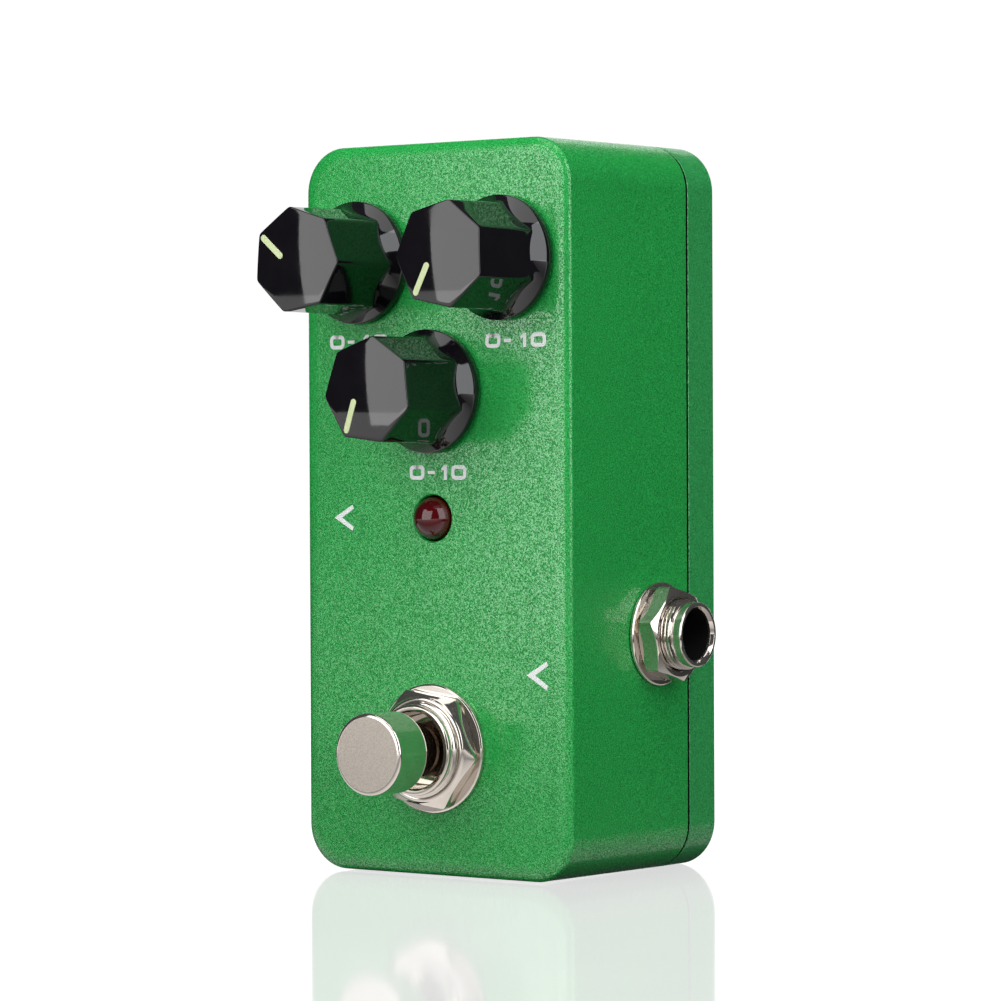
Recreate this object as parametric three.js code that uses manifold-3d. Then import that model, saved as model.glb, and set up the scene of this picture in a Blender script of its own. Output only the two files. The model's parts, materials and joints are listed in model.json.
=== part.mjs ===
// A mini guitar effects pedal: a die-cast box with three knobs, a footswitch, two jacks and a power
// socket.
// Millimetres. +Z runs up the long side, the controls face -Y, the back plate faces +Y, and the box
// stands on its short end with the origin in the middle of that end.
import * as THREE from 'three';
import { mergeVertices } from 'three/addons/utils/BufferGeometryUtils.js';
import Module from 'manifold-3d';

const wasm = await Module();
wasm.setup();

// ---------------------------------------------------------------- driving dimensions

const WIDTH = 42.4;
const HEIGHT = 93.5;
const DEPTH = 32.3;
const CORNER_RADIUS = 5.95;
const FRONT_FILLET = 1.5;
const BACK_FILLET = 0.4;
const WALL = 2.0;
const PLATE_DEPTH = 5.9;
const GAP = 0.3; // between pieces that touch

const LEVEL_COLUMN = 11.2;
const DRIVE_COLUMN = -11.6;
const MIDDLE_COLUMN = -0.2; // tone knob, indicator and footswitch
const KNOB_ROW = 78.3;
const TONE_ROW = 61.7;
const LED_ROW = 45.6;
const SWITCH_ROW = 16.4;
const INPUT_ROW = 30.7;
const OUTPUT_ROW = 45.6;
const JACK_DEPTH = 19.45; // jack axis behind the control face
const POWER_DEPTH = 20.15; // power socket axis behind the control face

// The way each knob's pointer stands at rest, in degrees anticlockwise from the right, seen from the
// front.
const POINTER_ANGLE = { level: 232.5, drive: 150, tone: 237.5 };

// The inlays lean a little off the radius, in degrees about their outer ends.
const POINTER_LEAN = { level: 8, drive: -9, tone: 12 };

const KNOB_BASE = 0.5;
const KNOB_TOP = 13.6;
const KNOB_SIDES = 7;
const KNOB_CORNER = 6.9;
const SKIRT_RADIUS = 7.85;
const POT_SHAFT_RADIUS = 2.6;
const POT_BUSHING_RADIUS = 3.4;
const POT_BODY_DEPTH = 6.5;

const SWITCH_BUSHING_RADIUS = 6.1;
const SWITCH_BUSHING_TOP = 4.5;
const SWITCH_STEM_RADIUS = 3.4;
const SWITCH_CAP_RADIUS = 5.15;
const SWITCH_CAP_BASE = 7.8;
const SWITCH_CAP_TOP = 13.6;
const SWITCH_BODY_TOP = -4.6;
const SWITCH_NUT_TURN = THREE.MathUtils.degToRad(-8);

const LED_RADIUS = 2.75;
const LED_HOLE_RADIUS = 3.05;
const LED_TIP = 2.2;
const LED_FLANGE_RADIUS = 3.3;

const JACK_BORE_RADIUS = 3.25;
const JACK_SLEEVE_RADIUS = 4.5;
const JACK_SLEEVE_TOP = 6.1;
const JACK_BODY = 13;
const JACK_BODY_LENGTH = 25.5;
const JACK_NUT_TURN = THREE.MathUtils.degToRad(45);

const POWER_BORE_RADIUS = 2.9;
const POWER_NOSE_RADIUS = 3.9;

const SCREW_INSET = 5.2;
const BOSS_RADIUS = 3.6;
const BOSS_STEP = 0.2; // the screw bosses end this far below the rim
const SCREW_RADIUS = 1.4;

const BOARD_THICKNESS = 1.6;
const SHELL_DEPTH = DEPTH - PLATE_DEPTH - GAP;
const POT_BODY_TOP = -(WALL + GAP);
const MAIN_BOARD_TOP = POT_BODY_TOP - POT_BODY_DEPTH - GAP;
const IO_BOARD_TOP = -(JACK_DEPTH + JACK_BODY / 2 + GAP);

// ---------------------------------------------------------------- materials

function finish(color, roughness, metalness) {
  return () => new THREE.MeshStandardMaterial({ color, roughness, metalness });
}

const greenPaint = finish(0x2f9a4c, 0.45, 0.35);
const blackPlastic = finish(0x0b0b0c, 0.25, 0.0);
const housingPlastic = finish(0x1b1b1d, 0.6, 0.0);
const pointerPlastic = finish(0xe4efc0, 0.5, 0.0);
const chrome = finish(0xd8d4cf, 0.15, 1.0);
const brushedSteel = finish(0xb4b0aa, 0.4, 1.0);
const brass = finish(0xc9a45a, 0.35, 1.0);
const redLens = finish(0x5c0a10, 0.15, 0.0);
const rubber = finish(0x1a1a1a, 0.9, 0.0);
const boardGreen = finish(0x14532d, 0.55, 0.0);
const capSleeve = finish(0x1d2a4a, 0.4, 0.1);
const potCan = finish(0xa9adb0, 0.4, 0.9);

// ---------------------------------------------------------------- solids

function toSolid(geometry) {
  const bare = geometry.index ? geometry.toNonIndexed() : geometry.clone();
  bare.deleteAttribute('normal');
  bare.deleteAttribute('uv');
  const merged = mergeVertices(bare, 1e-4);
  const vertProperties = new Float32Array(merged.attributes.position.array);
  const triVerts = new Uint32Array(merged.index.array);
  return new wasm.Manifold(new wasm.Mesh({ numProp: 3, vertProperties, triVerts }));
}

function toGeometry(solid) {
  const mesh = solid.getMesh();
  const geometry = new THREE.BufferGeometry();
  geometry.setAttribute('position', new THREE.BufferAttribute(mesh.vertProperties, 3));
  geometry.setIndex(new THREE.BufferAttribute(mesh.triVerts, 1));
  geometry.computeVertexNormals();
  return geometry;
}

function join(...geometries) {
  return toGeometry(geometries.map(toSolid).reduce((sum, next) => sum.add(next)));
}

function cut(base, ...tools) {
  return toGeometry(tools.map(toSolid).reduce((rest, tool) => rest.subtract(tool), toSolid(base)));
}

// A turned piece about local Z. The profile is a list of [radius, height] points.
function turned(profile, segments = 24) {
  const points = profile.map(([radius, height]) => new THREE.Vector2(radius, height));
  points.push(points[0].clone());
  return new THREE.LatheGeometry(points, segments).rotateX(Math.PI / 2);
}

function rod(radius, low, high, segments = 24) {
  return turned([[0, low], [radius, low], [radius, high], [0, high]], segments);
}

function ring(inner, outer, low, high, segments = 24) {
  return turned([[inner, low], [outer, low], [outer, high], [inner, high]], segments);
}

function block(sizeX, sizeY, low, high, x = 0, y = 0) {
  return new THREE.BoxGeometry(sizeX, sizeY, high - low).translate(x, y, (low + high) / 2);
}

function extruded(shape, low, high) {
  return new THREE.ExtrudeGeometry(shape, { depth: high - low, bevelEnabled: false, curveSegments: 6 })
    .translate(0, 0, low);
}

function roundedRectangle(width, height, radius) {
  const shape = new THREE.Shape();
  const right = width / 2;
  const top = height / 2;
  shape.absarc(right - radius, top - radius, radius, 0, Math.PI / 2);
  shape.absarc(radius - right, top - radius, radius, Math.PI / 2, Math.PI);
  shape.absarc(radius - right, radius - top, radius, Math.PI, Math.PI * 1.5);
  shape.absarc(right - radius, radius - top, radius, Math.PI * 1.5, Math.PI * 2);
  return shape;
}

function regularPolygon(sides, cornerRadius, turn = 0) {
  const corners = [];
  for (let i = 0; i < sides; i += 1) {
    const angle = turn + (i * 2 * Math.PI) / sides;
    corners.push(new THREE.Vector2(cornerRadius * Math.cos(angle), cornerRadius * Math.sin(angle)));
  }
  return new THREE.Shape(corners);
}

// A hexagon nut with both faces chamfered by a turned cone.
function hexNut(acrossFlats, boreRadius, low, high, turn = 0) {
  const corner = acrossFlats / Math.sqrt(3);
  const chamfer = corner - acrossFlats / 2;
  const hexagon = extruded(regularPolygon(6, corner, turn), low, high);
  const cone = turned([
    [0, low],
    [acrossFlats / 2 + 0.1, low],
    [corner + 0.1, low + chamfer / 2],
    [corner + 0.1, high - chamfer / 2],
    [acrossFlats / 2 + 0.1, high],
    [0, high],
  ]);
  const body = toGeometry(toSolid(hexagon).intersect(toSolid(cone)));
  return cut(body, rod(boreRadius, low - 1, high + 1));
}

// A box-like form whose outer edge is rounded on the side that faces +Z.
function filletedBlock(width, height, cornerRadius, fillet, low, high) {
  const options = {
    depth: high - low,
    bevelEnabled: true,
    bevelThickness: fillet,
    bevelSize: fillet,
    bevelOffset: -fillet,
    bevelSegments: 3,
    curveSegments: 6,
  };
  const whole = new THREE.ExtrudeGeometry(roundedRectangle(width, height, cornerRadius), options);
  whole.translate(0, 0, high - fillet - options.depth);
  return cut(whole, block(width + 10, height + 10, low - fillet - 5, low));
}

function named(name, geometry, material) {
  const mesh = new THREE.Mesh(geometry, material());
  mesh.name = name;
  return mesh;
}

function placed(x, y, ...children) {
  const group = new THREE.Group();
  group.position.set(x, y, 0);
  group.add(...children);
  return group;
}

// A group on one face of the box: local Z points out of the face and local Y points up.
function onFace(origin, acrossAxis, upAxis, outAxis, ...children) {
  const group = new THREE.Group();
  const basis = new THREE.Matrix4().makeBasis(
    new THREE.Vector3(...acrossAxis),
    new THREE.Vector3(...upAxis),
    new THREE.Vector3(...outAxis),
  );
  group.quaternion.setFromRotationMatrix(basis);
  group.position.set(...origin);
  group.add(...children);
  return group;
}

// ---------------------------------------------------------------- enclosure

const screwPlaces = [
  [WIDTH / 2 - SCREW_INSET, HEIGHT - SCREW_INSET],
  [SCREW_INSET - WIDTH / 2, HEIGHT - SCREW_INSET],
  [SCREW_INSET - WIDTH / 2, SCREW_INSET],
  [WIDTH / 2 - SCREW_INSET, SCREW_INSET],
];

const knobPlaces = {
  level: [LEVEL_COLUMN, KNOB_ROW],
  drive: [DRIVE_COLUMN, KNOB_ROW],
  tone: [MIDDLE_COLUMN, TONE_ROW],
};

// The die-cast shell: front wall and four sides, open at the back, with a screw boss in each corner.
function enclosureShell() {
  const inner = extruded(
    roundedRectangle(WIDTH - 2 * WALL, HEIGHT - 2 * WALL, CORNER_RADIUS - WALL),
    -SHELL_DEPTH - 5,
    -WALL,
  ).translate(0, HEIGHT / 2, 0);
  const outer = filletedBlock(WIDTH, HEIGHT, CORNER_RADIUS, FRONT_FILLET, -SHELL_DEPTH, 0)
    .translate(0, HEIGHT / 2, 0);
  const bosses = screwPlaces.map(([x, y]) => (
    rod(BOSS_RADIUS, BOSS_STEP - SHELL_DEPTH, -WALL / 2, 16).translate(x, y, 0)
  ));
  const pilots = screwPlaces.map(([x, y]) => (
    rod(SCREW_RADIUS + GAP, -SHELL_DEPTH - 1, -SHELL_DEPTH + 9, 12).translate(x, y, 0)
  ));
  const potHoles = Object.values(knobPlaces).map(([x, y]) => (
    rod(POT_BUSHING_RADIUS + GAP, -WALL - 1, 1).translate(x, y, 0)
  ));
  const switchHole = rod(SWITCH_BUSHING_RADIUS + GAP, -WALL - 1, 1)
    .translate(MIDDLE_COLUMN, SWITCH_ROW, 0);
  const ledHole = rod(LED_HOLE_RADIUS, -WALL - 1, 1).translate(MIDDLE_COLUMN, LED_ROW, 0);
  const inputHole = rod(JACK_SLEEVE_RADIUS + GAP, 0, 10).rotateY(Math.PI / 2)
    .translate(WIDTH / 2 - 5, INPUT_ROW, -JACK_DEPTH);
  const outputHole = rod(JACK_SLEEVE_RADIUS + GAP, 0, 10).rotateY(-Math.PI / 2)
    .translate(5 - WIDTH / 2, OUTPUT_ROW, -JACK_DEPTH);
  const powerHole = rod(POWER_NOSE_RADIUS + GAP, 0, 10).rotateX(-Math.PI / 2)
    .translate(0, HEIGHT - 5, -POWER_DEPTH);
  const hollow = cut(outer, inner);
  const frontHoles = [...potHoles, switchHole, ledHole];
  const sideHoles = [inputHole, outputHole, powerHole];
  return cut(join(hollow, ...bosses), ...pilots, ...frontHoles, ...sideHoles);
}

const PAD_WIDTH = 33.4;
const PAD_HEIGHT = 71.4;
const PAD_PROUD = 1.0;
const PAD_RECESS = 0.9;
const COUNTERSINK_RADIUS = 3.0;
const COUNTERSINK_DEPTH = 1.3;

// The back plate is a shallow tray. Here local Z points out of the back and 0 is its outer face.
function backPlate() {
  const outer = filletedBlock(WIDTH, HEIGHT, CORNER_RADIUS, BACK_FILLET, -PLATE_DEPTH, 0)
    .translate(0, HEIGHT / 2, 0);
  const inner = extruded(
    roundedRectangle(WIDTH - 2 * WALL, HEIGHT - 2 * WALL, CORNER_RADIUS - WALL),
    -PLATE_DEPTH - 5,
    -WALL,
  ).translate(0, HEIGHT / 2, 0);
  const posts = screwPlaces.map(([x, y]) => (
    rod(BOSS_RADIUS, BOSS_STEP - PLATE_DEPTH, -WALL / 2, 16).translate(x, y, 0)
  ));
  const clearance = SCREW_RADIUS + GAP;
  const screwHoles = screwPlaces.map(([x, y]) => (
    turned([
      [0, -PLATE_DEPTH - 1],
      [clearance, -PLATE_DEPTH - 1],
      [clearance, -COUNTERSINK_DEPTH],
      [COUNTERSINK_RADIUS, 0],
      [COUNTERSINK_RADIUS, 1],
      [0, 1],
    ], 16).translate(x, y, 0)
  ));
  const recessOutline = roundedRectangle(PAD_WIDTH + 2 * GAP, PAD_HEIGHT + 2 * GAP, 4 + GAP);
  const recess = extruded(recessOutline, -PAD_RECESS, 1).translate(0, HEIGHT / 2, 0);
  return cut(join(cut(outer, inner), ...posts), ...screwHoles, recess);
}

function backPlateScrew() {
  const headRadius = COUNTERSINK_RADIUS - GAP;
  const shape = turned([
    [0, -PLATE_DEPTH - 8],
    [SCREW_RADIUS * 0.7, -PLATE_DEPTH - 8],
    [SCREW_RADIUS, -PLATE_DEPTH - 7],
    [SCREW_RADIUS, -COUNTERSINK_DEPTH - 0.1],
    [headRadius, -0.1],
    [0, -0.1],
  ], 16);
  return cut(shape, block(3, 0.55, -0.9, 1), block(0.55, 3, -0.9, 1));
}

function antiSlipPad() {
  return extruded(roundedRectangle(PAD_WIDTH, PAD_HEIGHT, 4), GAP - PAD_RECESS, PAD_PROUD)
    .translate(0, HEIGHT / 2, 0);
}

// ---------------------------------------------------------------- knobs and potentiometers

const POINTER_START = 1.9;
const POINTER_END = 5.9;
const POINTER_WIDTH = 0.8;

function pointerOutline(grow) {
  const half = POINTER_WIDTH / 2 + grow;
  const shape = new THREE.Shape();
  shape.absarc(POINTER_END - POINTER_WIDTH / 2, 0, half, -Math.PI / 2, Math.PI / 2);
  shape.absarc(POINTER_START + POINTER_WIDTH / 2, 0, half, Math.PI / 2, Math.PI * 1.5);
  return shape;
}

function leaning(geometry, angle) {
  return geometry.translate(-POINTER_END, 0, 0).rotateZ(angle).translate(POINTER_END, 0, 0);
}

// Seven flat sides rise from a round flared skirt; the hollow underneath clears the potentiometer's nut.
function knob(lean) {
  const skirt = turned([
    [0, KNOB_BASE],
    [SKIRT_RADIUS, KNOB_BASE],
    [SKIRT_RADIUS, KNOB_BASE + 0.8],
    [6.9, KNOB_BASE + 2.4],
    [5.8, KNOB_BASE + 4.0],
    [0, KNOB_BASE + 4.0],
  ], 28);
  const body = extruded(regularPolygon(KNOB_SIDES, KNOB_CORNER), KNOB_BASE + 1, KNOB_TOP);
  const hollow = rod(5.7, KNOB_BASE - 1, 2.8, 20);
  const shaftHole = rod(POT_SHAFT_RADIUS + GAP, 0, 9.3);
  const pointerGroove = leaning(extruded(pointerOutline(GAP), KNOB_TOP - 0.8, KNOB_TOP + 1), lean);
  return cut(join(skirt, body), hollow, shaftHole, pointerGroove);
}

function knobSet(control) {
  const [x, y] = knobPlaces[control];
  const lean = THREE.MathUtils.degToRad(POINTER_LEAN[control]);
  const pointer = leaning(extruded(pointerOutline(0), KNOB_TOP - 0.5, KNOB_TOP), lean);
  const turning = new THREE.Group();
  turning.rotation.z = THREE.MathUtils.degToRad(POINTER_ANGLE[control]);
  turning.add(
    named(`${control}_knob`, knob(lean), blackPlastic),
    named(`${control}_knob_pointer`, pointer, pointerPlastic),
    named(`${control}_pot_shaft`, rod(POT_SHAFT_RADIUS, POT_BODY_TOP - 3.7, 9), brushedSteel),
  );
  const potBody = cut(
    block(9.5, 11, POT_BODY_TOP - POT_BODY_DEPTH, POT_BODY_TOP),
    rod(POT_SHAFT_RADIUS + GAP, POT_BODY_TOP - 4, 1),
  );
  const bushing = ring(POT_SHAFT_RADIUS + 0.1, POT_BUSHING_RADIUS, POT_BODY_TOP + GAP, 2.6);
  return placed(
    x,
    y,
    turning,
    named(`${control}_pot_body`, potBody, potCan),
    named(`${control}_pot_bushing`, bushing, brass),
    named(`${control}_pot_nut`, hexNut(9, POT_BUSHING_RADIUS + GAP, GAP, 2.0), brushedSteel),
  );
}

// ---------------------------------------------------------------- footswitch

const SWITCH_NUT_FLATS = 14;
const SWITCH_BODY_DEPTH = 13;
const SWITCH_STEM_BOTTOM = -8.0;
const SWITCH_WELL_BOTTOM = -14.5;
const SPRING_RADIUS = 2.7;
const SPRING_WIRE = 0.4;
const SPRING_TURNS = 3.5;

class Helix extends THREE.Curve {
  getPoint(t, target = new THREE.Vector3()) {
    const low = SWITCH_WELL_BOTTOM + GAP + SPRING_WIRE;
    const high = SWITCH_STEM_BOTTOM - GAP - SPRING_WIRE;
    const angle = t * SPRING_TURNS * 2 * Math.PI;
    const height = low + t * (high - low);
    return target.set(SPRING_RADIUS * Math.cos(angle), SPRING_RADIUS * Math.sin(angle), height);
  }
}

function switchSpring() {
  return new THREE.ExtrudeGeometry(regularPolygon(8, SPRING_WIRE), {
    steps: 42,
    bevelEnabled: false,
    extrudePath: new Helix(),
  });
}

function switchBushing() {
  return turned([
    [SWITCH_STEM_RADIUS + 0.1, SWITCH_BODY_TOP + GAP],
    [SWITCH_BUSHING_RADIUS, SWITCH_BODY_TOP + GAP],
    [SWITCH_BUSHING_RADIUS, SWITCH_BUSHING_TOP - 0.5],
    [SWITCH_BUSHING_RADIUS - 0.4, SWITCH_BUSHING_TOP],
    [4.95, SWITCH_BUSHING_TOP],
    [4.95, -1.0],
    [SWITCH_STEM_RADIUS + 0.1, -1.0],
  ]);
}

function switchCap() {
  return turned([
    [0, 10],
    [SWITCH_STEM_RADIUS + GAP, 10],
    [SWITCH_STEM_RADIUS + GAP, SWITCH_CAP_BASE],
    [SWITCH_CAP_RADIUS - 0.2, SWITCH_CAP_BASE],
    [SWITCH_CAP_RADIUS, SWITCH_CAP_BASE + 0.2],
    [SWITCH_CAP_RADIUS, SWITCH_CAP_TOP - 0.4],
    [SWITCH_CAP_RADIUS - 0.5, SWITCH_CAP_TOP],
    [0, SWITCH_CAP_TOP],
  ], 28);
}

function footswitch() {
  const bodyBottom = SWITCH_BODY_TOP - SWITCH_BODY_DEPTH;
  const body = cut(
    block(16.4, 15.6, bodyBottom, SWITCH_BODY_TOP),
    rod(SWITCH_STEM_RADIUS + 0.4, SWITCH_WELL_BOTTOM, 0),
  );
  const boreRadius = SWITCH_BUSHING_RADIUS + GAP;
  const innerNut = hexNut(SWITCH_NUT_FLATS, boreRadius, SWITCH_BODY_TOP + GAP, -WALL - GAP);
  const outerNut = hexNut(SWITCH_NUT_FLATS, boreRadius, 1.2, 2.9, SWITCH_NUT_TURN);
  const lug = (side) => block(2.2, 0.8, bodyBottom - GAP - 4.5, bodyBottom - GAP, side * 4, 0);
  return placed(
    MIDDLE_COLUMN,
    SWITCH_ROW,
    named('footswitch_cap', switchCap(), chrome),
    named('footswitch_stem', rod(SWITCH_STEM_RADIUS, SWITCH_STEM_BOTTOM, 9.7), brushedSteel),
    named('footswitch_spring', switchSpring(), brushedSteel),
    named('footswitch_bushing', switchBushing(), chrome),
    named('footswitch_outer_nut', outerNut, chrome),
    named('footswitch_washer', ring(boreRadius, 8.2, GAP, 0.9, 32), chrome),
    named('footswitch_inner_nut', innerNut, brushedSteel),
    named('footswitch_body', body, housingPlastic),
    named('footswitch_lug_1', lug(-1), brass),
    named('footswitch_lug_2', lug(1), brass),
  );
}

// ---------------------------------------------------------------- indicator

function indicator() {
  const domeCentre = LED_TIP - LED_RADIUS;
  const profile = [[0, -6], [LED_FLANGE_RADIUS, -6], [LED_FLANGE_RADIUS, -5], [LED_RADIUS, -5]];
  const domeSteps = 5;
  for (let i = 0; i <= domeSteps; i += 1) {
    const angle = (i * Math.PI) / 2 / domeSteps;
    const radius = i === domeSteps ? 0 : LED_RADIUS * Math.cos(angle);
    profile.push([radius, domeCentre + LED_RADIUS * Math.sin(angle)]);
  }
  const legTop = -6 - GAP;
  const legBottom = MAIN_BOARD_TOP + GAP;
  const spacer = cut(
    rod(2.9, legBottom, legTop, 16),
    block(1.1, 1.1, -12, 0, -1.27, 0),
    block(1.1, 1.1, -12, 0, 1.27, 0),
  );
  return placed(
    MIDDLE_COLUMN,
    LED_ROW,
    named('indicator_lens', turned(profile), redLens),
    named('indicator_spacer', spacer, housingPlastic),
    named('indicator_leg_1', block(0.5, 0.5, legBottom, legTop, -1.27, 0), brushedSteel),
    named('indicator_leg_2', block(0.5, 0.5, legBottom, legTop, 1.27, 0), brushedSteel),
  );
}

// ---------------------------------------------------------------- jacks

const JACK_BODY_TOP = -(WALL + GAP);
const CONTACT_SLOT_START = JACK_BODY_TOP - 14.7;
const CONTACT_SLOT_END = JACK_BODY_TOP - 23.7;

function jackBody() {
  const bottom = JACK_BODY_TOP - JACK_BODY_LENGTH;
  return cut(
    block(JACK_BODY, JACK_BODY, bottom, JACK_BODY_TOP),
    rod(JACK_BORE_RADIUS, bottom + 1.5, 0),
    block(4.4, 8, CONTACT_SLOT_END, CONTACT_SLOT_START, 0, 4 + 2),
  );
}

// A leaf with a V-shaped bump that reaches into the bore and clicks into the plug's tip groove.
function tipContact() {
  const root = CONTACT_SLOT_START - 0.6;
  const thickness = 0.45;
  const upper = [[root, 4.8], [root - 3.7, 4.8], [root - 5.8, 3.1], [root - 7.6, 4.7]];
  const lower = upper.map(([along, height]) => [along, height - thickness]).reverse();
  const corners = [...upper, ...lower].map(([along, height]) => new THREE.Vector2(along, height));
  const width = 3.6;
  const profile = new THREE.Shape(corners);
  const strip = new THREE.ExtrudeGeometry(profile, { depth: width, bevelEnabled: false });
  return strip.translate(0, 0, -width / 2).rotateY(-Math.PI / 2);
}

function jackSleeve() {
  return turned([
    [JACK_BORE_RADIUS, JACK_BODY_TOP + GAP],
    [JACK_SLEEVE_RADIUS, JACK_BODY_TOP + GAP],
    [JACK_SLEEVE_RADIUS, JACK_SLEEVE_TOP - 1.3],
    [4.15, JACK_SLEEVE_TOP - 1.2],
    [4.15, JACK_SLEEVE_TOP],
    [JACK_BORE_RADIUS, JACK_SLEEVE_TOP],
  ]);
}

// Local x runs along the box's depth, so the jack's place on the face is [depth, row].
function jack(side, across, row) {
  const boreRadius = JACK_SLEEVE_RADIUS + GAP;
  return placed(
    across,
    row,
    named(`${side}_jack_sleeve`, jackSleeve(), chrome),
    named(`${side}_jack_washer`, ring(boreRadius, 6.6, GAP, 0.8), chrome),
    named(`${side}_jack_nut`, hexNut(11, boreRadius, 1.1, 3.5, JACK_NUT_TURN), chrome),
    named(`${side}_jack_body`, jackBody(), housingPlastic),
    named(`${side}_jack_tip_contact`, tipContact(), brass),
  );
}

// ---------------------------------------------------------------- power socket

function powerSocket() {
  const top = -(WALL + GAP);
  const bottom = top - 12;
  const floor = -10.5;
  const body = cut(
    join(block(9, 11, bottom, top), rod(POWER_NOSE_RADIUS, top - 1, 0)),
    rod(POWER_BORE_RADIUS, floor, 1),
    rod(1.3, bottom - 1, 0, 12),
    block(3, 3.4, floor + 0.5, top - 1.5, 0, 4),
  );
  return [
    named('power_socket_body', body, housingPlastic),
    named('power_socket_pin', rod(1.0, bottom, -1, 16), chrome),
    named('power_socket_contact', block(2.4, 0.4, floor + 0.8, top - 1.8, 0, 3.6), brass),
  ];
}

// ---------------------------------------------------------------- circuit boards

// A board with its two upper corners cut away round the screw bosses.
function boardOutline(bottom) {
  const side = 17.8;
  const neck = 11.9;
  const shoulder = 83.5;
  const top = 90.9;
  const corners = [
    [-side, bottom],
    [side, bottom],
    [side, shoulder],
    [neck, shoulder],
    [neck, top],
    [-neck, top],
    [-neck, shoulder],
    [-side, shoulder],
  ];
  return new THREE.Shape(corners.map(([x, y]) => new THREE.Vector2(x, y)));
}

function circuit() {
  const behind = MAIN_BOARD_TOP - BOARD_THICKNESS - GAP;
  const capacitor = (x, y) => turned([
    [0, behind - 8],
    [2.6, behind - 8],
    [2.9, behind - 7.6],
    [2.9, behind],
    [0, behind],
  ], 20).translate(x, y, 0);
  const mainBoard = extruded(boardOutline(26.5), MAIN_BOARD_TOP - BOARD_THICKNESS, MAIN_BOARD_TOP);
  const ioBoard = extruded(boardOutline(22.5), IO_BOARD_TOP - BOARD_THICKNESS, IO_BOARD_TOP);
  return [
    named('main_board', mainBoard, boardGreen),
    named('io_board', ioBoard, boardGreen),
    named('board_header', block(22, 4.8, IO_BOARD_TOP + GAP, behind, 0, 58), housingPlastic),
    named('amplifier_chip', block(9.6, 6.4, behind - 3.4, behind, -8.2, 67.4), housingPlastic),
    named('bypass_relay', block(14, 9, behind - 5.5, behind, 8, 68.5), housingPlastic),
    named('capacitor_1', capacitor(-12.5, 77.5), capSleeve),
    named('capacitor_2', capacitor(12.5, 78.5), capSleeve),
  ];
}

// ---------------------------------------------------------------- assembly

const X = [1, 0, 0];
const Y = [0, 1, 0];
const Z = [0, 0, 1];
const minus = (axis) => axis.map((value) => -value);

const jackAcross = JACK_DEPTH - DEPTH / 2;
const powerAcross = POWER_DEPTH - DEPTH / 2;

const controlFace = onFace(
  [0, -DEPTH / 2, 0],
  X,
  Z,
  minus(Y),
  named('enclosure_shell', enclosureShell(), greenPaint),
  ...Object.keys(knobPlaces).map(knobSet),
  footswitch(),
  indicator(),
  ...circuit(),
);

const backFace = onFace(
  [0, DEPTH / 2, 0],
  minus(X),
  Z,
  Y,
  named('back_plate', backPlate(), greenPaint),
  named('anti_slip_pad', antiSlipPad(), rubber),
  ...screwPlaces.map(([x, y], i) => (
    placed(x, y, named(`back_plate_screw_${i + 1}`, backPlateScrew(), brushedSteel))
  )),
);

const inputJack = jack('input', jackAcross, INPUT_ROW);
const outputJack = jack('output', -jackAcross, OUTPUT_ROW);
const inputSide = onFace([WIDTH / 2, 0, 0], Y, Z, X, inputJack);
const outputSide = onFace([-WIDTH / 2, 0, 0], minus(Y), Z, minus(X), outputJack);
const topEnd = onFace([0, 0, HEIGHT], X, Y, Z, placed(0, powerAcross, ...powerSocket()));

const pedal = new THREE.Group();
pedal.name = 'effects_pedal';
pedal.add(controlFace, backFace, inputSide, outputSide, topEnd);

export default pedal;
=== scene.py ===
"""Looks of a mini guitar effects pedal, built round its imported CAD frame.

Each visible CAD node is replaced by a finely modelled piece of the same size in the same place.
Piece shapes are written in millimetres on one face of the box: local x runs across the face,
y up it and z out of it.
"""

import json
from math import atan2, cos, exp, hypot, log, pi, radians, sin, tan

import bmesh
import bpy
from mathutils import Matrix, Vector


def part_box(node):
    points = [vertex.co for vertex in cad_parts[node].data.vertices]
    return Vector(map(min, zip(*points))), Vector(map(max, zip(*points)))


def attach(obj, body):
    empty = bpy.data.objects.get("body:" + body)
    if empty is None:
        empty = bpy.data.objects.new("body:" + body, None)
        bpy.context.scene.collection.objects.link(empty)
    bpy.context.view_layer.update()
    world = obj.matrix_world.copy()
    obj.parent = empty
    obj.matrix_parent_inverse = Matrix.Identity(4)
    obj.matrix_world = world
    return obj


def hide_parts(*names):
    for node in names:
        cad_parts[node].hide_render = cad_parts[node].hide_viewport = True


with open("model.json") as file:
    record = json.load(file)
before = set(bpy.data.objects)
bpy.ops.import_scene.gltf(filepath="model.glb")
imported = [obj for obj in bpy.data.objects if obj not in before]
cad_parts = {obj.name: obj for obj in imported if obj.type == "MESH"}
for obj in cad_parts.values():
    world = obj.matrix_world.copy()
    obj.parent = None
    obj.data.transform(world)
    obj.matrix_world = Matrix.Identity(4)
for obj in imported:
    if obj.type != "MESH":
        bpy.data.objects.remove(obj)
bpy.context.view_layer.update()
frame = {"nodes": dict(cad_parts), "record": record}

MM = 0.001
TURN = 2 * pi


# ---- places, read from the frame


def face_matrix(origin, across, up, out):
    """From a face's own millimetres to the frame's metres."""
    basis = Matrix((across, up, out)).transposed().to_4x4()
    return Matrix.Translation(Vector(origin)) @ basis @ Matrix.Scale(MM, 4)


X, Y, Z = Vector((1, 0, 0)), Vector((0, 1, 0)), Vector((0, 0, 1))

shell_low, shell_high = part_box("enclosure_shell")
plate_low, plate_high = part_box("back_plate")
WIDTH = (shell_high.x - shell_low.x) / MM
HEIGHT = (shell_high.z - shell_low.z) / MM
SHELL_DEPTH = (shell_high.y - shell_low.y) / MM
PLATE_DEPTH = (plate_high.y - plate_low.y) / MM

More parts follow.
